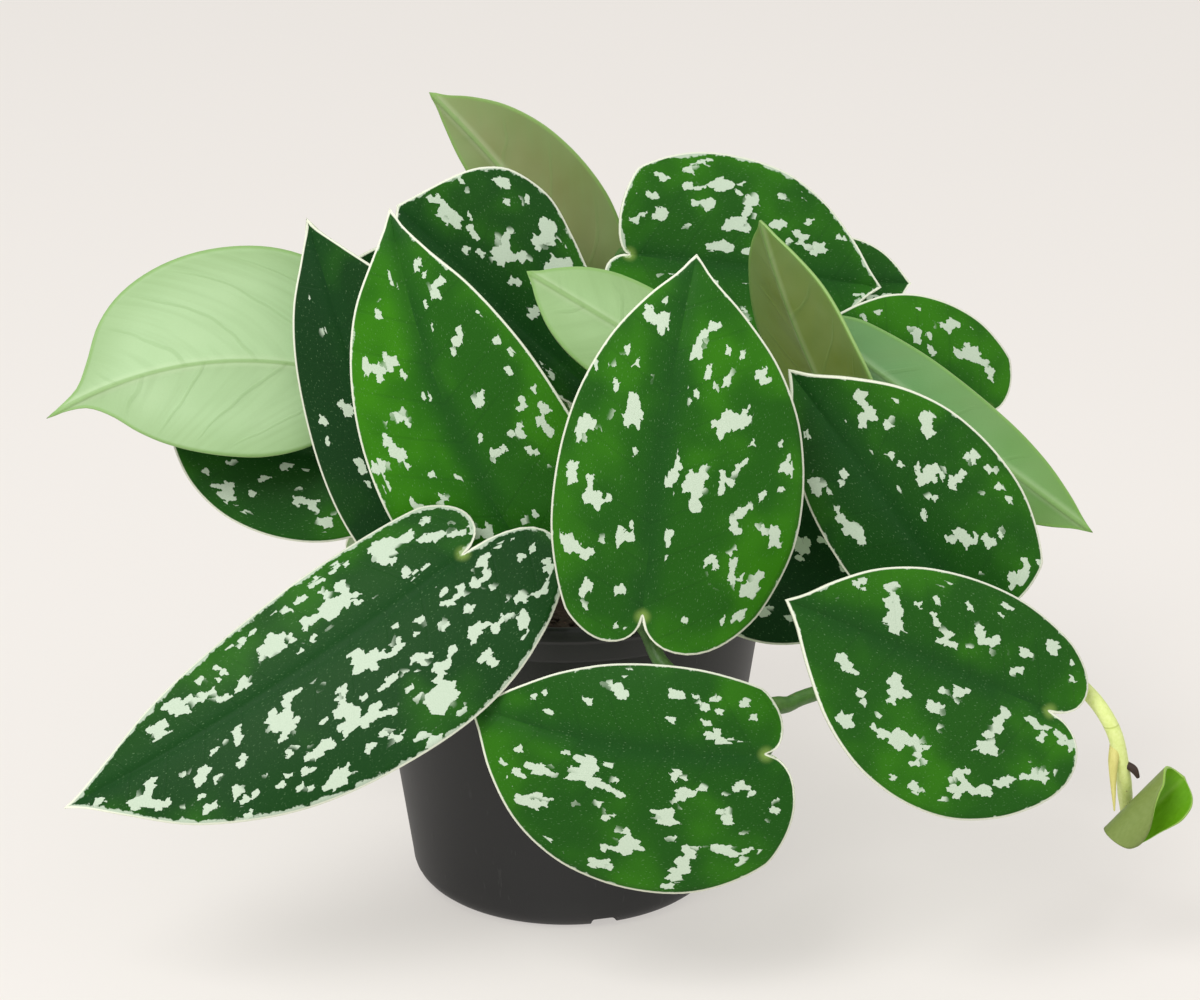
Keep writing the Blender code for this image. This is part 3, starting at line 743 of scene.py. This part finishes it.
def upper_face():
    """The satin upper face: deep green with painted light and shade, lighter to the edge, splashed with
    silver along the side veins.
    """
    paint = Paint("satin_upper")
    across, along, side = paint.leaf_place()
    edge, light = paint.attribute("edge"), paint.attribute("light")
    splash, seed = paint.attribute("splash"), paint.attribute("seed")
    climb = along - across * VEIN_CLIMB
    lean = along - across * CHIP_LEAN
    drift = side * 31 + seed * 7.3
    broad = paint.noise(paint.vector(across * 0.05, along * 0.045, drift), 1.0)
    jag = paint.noise(paint.vector(across * 0.7, lean * 0.7, drift), 1.0, 2.0, 0.7) - 0.5
    spot = paint.vector(across / CHIP_WIDTH + drift + jag, lean / CHIP_LENGTH - jag)
    cells = paint.node("ShaderNodeTexVoronoi", {"voronoi_dimensions": "2D", "distance": "CHEBYCHEV"},
                       {"Vector": spot, "Scale": 1.0}, "Position")
    patches = paint.noise(paint.stretch(cells, (0.26, 0.26, 0)), 1.0, 1.0)
    flecks = paint.noise(paint.stretch(cells, (0.65, 0.55, 0)), 1.0, 0.0)
    quiet = (1 - paint.step(across, 1.5, 5.0)).larger((1 - paint.step(edge, 1.0, 4.5)) * 0.6)
    limit = 0.655 - splash * 0.13 - (broad - 0.5) * 0.20 + quiet * 0.2
    silver = paint.step(patches, limit, limit + 0.01).larger(
        paint.step(flecks, limit + 0.15, limit + 0.16) * (1 - quiet))
    ragged = paint.noise(paint.vector(across * 0.22, along * 0.22, drift), 1.0, 4.0, 0.7) * 4.5 + splash * 4.0
    frill = paint.step(edge, ragged - 3.7, ragged - 4.1)
    line = 1 - paint.step(edge, 0.35, 0.65)
    grain = paint.noise(paint.vector(across * 2.6, climb * 3.2, seed), 1.0, 4.0, 0.7)
    hairs = paint.step(paint.noise(paint.vector(across * 3.0, climb * 1.1, seed), 1.0, 1.0), 0.66, 0.74)
    wave = climb * 0.55
    veins = paint.step(wave.math("SINE", wave), 0.95, 1.0) * (1 - paint.step(across, 8, 30))
    # The light attribute is painted light and shade: dark green where a side lies in shadow, light where
    # light falls on it.
    green = paint.mix(light, (0.005, 0.036, 0.008), (0.020, 0.135, 0.003))
    # Random lighter patches and painted light: more of them where the light attribute is high, and near the
    # edge.
    tone_and_painted_light = paint.step(broad + light * 0.25 - edge * 0.008, 0.45, 0.75)
    green = paint.mix(tone_and_painted_light * (light * 0.6 + 0.25), green, (0.042, 0.225, 0.003))
    green = paint.mix((1 - paint.step(across, 0.3, 7.0)) * 0.5, green, (0.006, 0.048, 0.010))
    green = paint.mix(veins * 0.12, green, (0.004, 0.030, 0.006))
    green = paint.mix((grain - 0.35) * 0.30, green, (0.050, 0.170, 0.025))
    green = paint.mix(hairs * 0.30, green, (0.240, 0.420, 0.200))
    metal = paint.mix(grain, (0.360, 0.490, 0.340), (0.700, 0.780, 0.650))
    colour = paint.mix(silver.larger(frill * 0.85), green, metal)
    round_notch = across * across + along * along
    star = 1 - paint.step(round_notch.math("SQRT", round_notch), 0.5, 3.0)
    colour = paint.mix(star * 0.6, colour, (0.300, 0.450, 0.100))
    colour = paint.mix(line, colour, (0.800, 0.830, 0.680))
    height = grain * 0.5 + silver * 0.35 - veins * 0.3
    return paint.finish(Base_Color=colour, Roughness=silver * 0.12 + grain * 0.15 + 0.38,
                        Normal=paint.bump(height, 0.00015, 0.8), Specular_IOR_Level=0.09)


def under_face():
    """The pale underside with its midrib and side veins, in each leaf's tint, which carries painted shade and
    back-light.
    """
    paint = Paint("leaf_under")
    across, along, side = paint.leaf_place()
    edge, seed = paint.attribute("edge"), paint.attribute("seed")
    # Each leaf's underside tint, darker and olive on some: painted shade and back-light.
    under_tint_and_shade = paint.node("ShaderNodeAttribute", {"attribute_name": "under_and_painted_shade"}, {}, "Color")
    climb = along - across * 0.60 - across * across * 0.030
    wander = paint.noise(paint.vector(across * 0.05, along * 0.05, side * 9 + seed), 1.0)
    wave = climb * 0.32 + wander * 3 + side * 2
    veins = paint.step(wave.math("SINE", wave), 0.96, 1.0) * paint.step(edge, 0.5, 8)
    ridges = paint.noise(paint.vector(across * 0.06, climb * 0.22, seed), 1.0, 2.0)
    rib = 1 - paint.step(across, 0.2, 0.8)
    flank = 1 - paint.step(across, 0.6, 2.2)
    grain = paint.noise(paint.vector(across * 2.2, climb * 2.8, seed), 1.0, 4.0, 0.65)
    colour = paint.mix((wander - 0.35) * 0.3, under_tint_and_shade, (0.620, 0.780, 0.500))
    colour = paint.mix((0.55 - ridges) * 0.6, colour, (0.180, 0.300, 0.110))
    colour = paint.mix((1 - paint.step(edge, 0.5, 12.0)) * 0.30, colour, (0.200, 0.340, 0.110))
    colour = paint.mix((grain - 0.35) * 0.20, colour, (0.150, 0.260, 0.080))
    colour = paint.mix(veins * 0.17, colour, (0.160, 0.300, 0.090))
    colour = paint.mix(flank * 0.18, colour, (0.650, 0.780, 0.500))
    colour = paint.mix(rib * 0.50, colour, (0.170, 0.340, 0.070))
    colour = paint.mix((1 - paint.step(edge, 0.4, 1.2)) * 0.5, colour, (0.200, 0.400, 0.080))
    height = grain * 0.3 + veins * 0.5 + rib
    return paint.finish(Base_Color=colour, Roughness=grain * 0.2 + 0.42,
                        Normal=paint.bump(height, 0.00015, 0.8), Specular_IOR_Level=0.2)


def rim_finish():
    """A leaf's cut edge: near white, or green on the leaves that are turned over."""
    paint = Paint("leaf_rim")
    across, along, _ = paint.leaf_place()
    grain = paint.noise(paint.vector(across * 0.9, along * 0.9, 0.0), 1.0, 3.0)
    colour = paint.mix(grain, (0.700, 0.760, 0.520), (0.860, 0.870, 0.760))
    colour = paint.mix(paint.attribute("turned") * 0.9, colour, (0.240, 0.440, 0.090))
    return paint.finish(Base_Color=colour, Roughness=grain * 0.2 + 0.40)


def young_finish(name, low, high):
    """The unfurling leaf, fresh green with faint lengthwise streaks."""
    paint = Paint(name)
    across, along, _ = paint.leaf_place()
    streaks = paint.noise(paint.vector(across * 1.6, along * 0.6, 3.0), 1.0, 3.0)
    colour = paint.mix(streaks, low, high)
    colour = paint.mix((1 - paint.step(across, 0.2, 1.2)) * 0.2, colour, (0.300, 0.480, 0.080))
    return paint.finish(Base_Color=colour, Roughness=streaks * 0.2 + 0.34,
                        Normal=paint.bump(streaks, 0.0001, 0.6), Specular_IOR_Level=0.2)


def stem_finish():
    """Green stem and stalks with fine lengthwise streaks and tan nicks, yellow-green at the growing tip."""
    paint = Paint("vine_skin")
    place = paint.place()
    x, z = paint.part_of(place, "X"), paint.part_of(place, "Z")
    streaks = paint.noise(place, 900.0, 4.0, 0.6)
    patches = paint.noise(place, 90.0, 3.0)
    young = paint.step(x, 0.122, 0.140)
    ring = 1 - paint.step((z - x * 0.23 - 0.0426).size(), 0.00008, 0.00035)
    colour = paint.mix(streaks, (0.030, 0.110, 0.018), (0.105, 0.240, 0.050))
    colour = paint.mix((patches - 0.35) * 0.8, colour, (0.160, 0.220, 0.060))
    colour = paint.mix(young, colour, paint.mix(streaks, (0.560, 0.690, 0.150), (0.850, 0.920, 0.420)))
    colour = paint.mix(young * ring * 0.6, colour, (0.400, 0.480, 0.080))
    nicks = paint.step(paint.noise(place, 420.0, 2.0), 0.68, 0.76)
    colour = paint.mix(nicks * 0.7, colour, (0.230, 0.130, 0.050))
    return paint.finish(Base_Color=colour, Roughness=streaks * 0.2 + 0.36,
                        Normal=paint.bump(streaks + patches, 0.0002, 0.6))


def papery_finish(name, low, high, scale):
    """Dry sheath or aerial root: streaked tan or brown."""
    paint = Paint(name)
    place = paint.stretch(paint.place(), (1.0, 1.0, 0.25))
    fibre = paint.noise(place, scale, 4.0, 0.7)
    return paint.finish(Base_Color=paint.mix(fibre, low, high), Roughness=fibre * 0.2 + 0.55,
                        Normal=paint.bump(fibre, 0.0003))


def pot_finish():
    """Dark grey moulded plastic, a little shinier on the rim band, with faint scuffs and dust."""
    paint = Paint("pot_plastic")
    place = paint.place()
    z = paint.part_of(place, "Z")
    grain = paint.noise(place, 2600.0, 2.0)
    cloud = paint.noise(place, 38.0, 4.0)
    scuffs = paint.step(paint.noise(paint.stretch(place, (1.0, 1.0, 0.12)), 620.0, 3.0), 0.66, 0.74)
    band = paint.step(z, 0.0885, 0.0895)
    colour = paint.mix(cloud, (0.021, 0.021, 0.022), (0.028, 0.028, 0.029))
    colour = paint.mix(scuffs * 0.12, colour, (0.140, 0.140, 0.140))
    colour = paint.mix((1 - paint.step(z, 0.0, 0.012)) * cloud * 0.15, colour, (0.120, 0.115, 0.110))
    return paint.finish(Base_Color=colour, Roughness=0.46 - band * 0.08 + cloud * 0.10 + scuffs * 0.10,
                        Normal=paint.bump(grain + scuffs, 0.00006, 0.6), Specular_IOR_Level=0.3)


def soil_finish():
    """Moist potting mix: dark peat with lighter bits of bark and fibre."""
    paint = Paint("potting_mix")
    place = paint.place()
    lumps = paint.noise(place, 260.0, 5.0, 0.7)
    bits = paint.number("ShaderNodeTexVoronoi", {}, {"Vector": place, "Scale": 420.0}, "Distance")
    colour = paint.mix(lumps, (0.010, 0.006, 0.004), (0.090, 0.050, 0.028))
    colour = paint.mix(paint.step(bits, 0.22, 0.10) * 0.5, colour, (0.230, 0.140, 0.080))
    return paint.finish(Base_Color=colour, Roughness=lumps * 0.15 + 0.80,
                        Normal=paint.bump(lumps + bits, 0.0012))


def add_studio():
    """A plain pale floor that glows, a painted light that softens the shadows on it, soft light and the
    camera.
    """
    ground = bmesh.new()
    bmesh.ops.create_grid(ground, x_segments=8, y_segments=8, size=FLOOR_HALF)
    floor = put("floor", ground)
    paint = Paint("pale_glowing_floor")
    tone = paint.noise(paint.place(), 3.0, 2.0)
    colour = paint.mix(tone, (0.375, 0.360, 0.340), (0.385, 0.370, 0.350))
    # The floor glows: painted light that softens its shadows.
    floor.data.materials.append(paint.finish(
        Base_Color=colour, Roughness=0.9, Specular_IOR_Level=0.1,
        Emission_Color=(1.0, 0.955, 0.915), Emission_Strength=FLOOR_PAINTED_GLOW))
    world = bpy.data.worlds.new("studio")
    world.use_nodes = True
    sky = world.node_tree.nodes["Background"]
    sky.inputs["Color"].default_value = (1.0, 0.985, 0.965, 1)
    sky.inputs["Strength"].default_value = SKY_STRENGTH
    bpy.context.scene.world = world
    for name, (spot, size, power) in LAMPS.items():
        light = bpy.data.lights.new(name, "AREA")
        light.size = size
        light.energy = power
        lamp = put(name, light)
        lamp.location = spot
        lamp.rotation_euler = (Vector(CAMERA_AIM) - Vector(spot)).to_track_quat("-Z", "Y").to_euler()
    lens = bpy.data.cameras.new("camera")
    lens.sensor_fit = "HORIZONTAL"
    lens.sensor_width = CAMERA_SENSOR
    lens.lens = CAMERA_LENS
    camera = put("camera", lens)
    back = Vector((0, -math.cos(CAMERA_TILT), math.sin(CAMERA_TILT)))
    camera.location = Vector(CAMERA_AIM) + back * CAMERA_RANGE
    camera.rotation_euler = (math.pi / 2 - CAMERA_TILT, 0, 0)
    bpy.context.scene.camera = camera
    bpy.context.scene.view_settings.view_transform = "Standard"


def main():
    """Make every piece of the plant and the studio round it."""
    leaf_mats = [upper_face(), under_face(), rim_finish()]
    young_mats = [
        young_finish("young_inner", (0.090, 0.270, 0.003), (0.140, 0.360, 0.006)),
        young_finish("young_outer", (0.160, 0.225, 0.050), (0.230, 0.300, 0.090)),
        young_finish("young_rim", (0.240, 0.440, 0.060), (0.380, 0.580, 0.120)),
    ]
    for seed, (name, leaf) in enumerate(BLADES.items()):
        add_leaf(name, leaf, seed + 1, young_mats if name == "leaf_rolled" else leaf_mats)
    skin = stem_finish()
    for name, vine in VINES.items():
        add_vine(name, vine, skin)
    add_tip_details(papery_finish("dry_sheath", (0.500, 0.480, 0.110), (0.780, 0.720, 0.270), 700.0),
                    papery_finish("root_bark", (0.008, 0.004, 0.002), (0.060, 0.028, 0.014), 900.0))
    add_soil(soil_finish())
    add_pot(pot_finish())
    add_studio()


main()
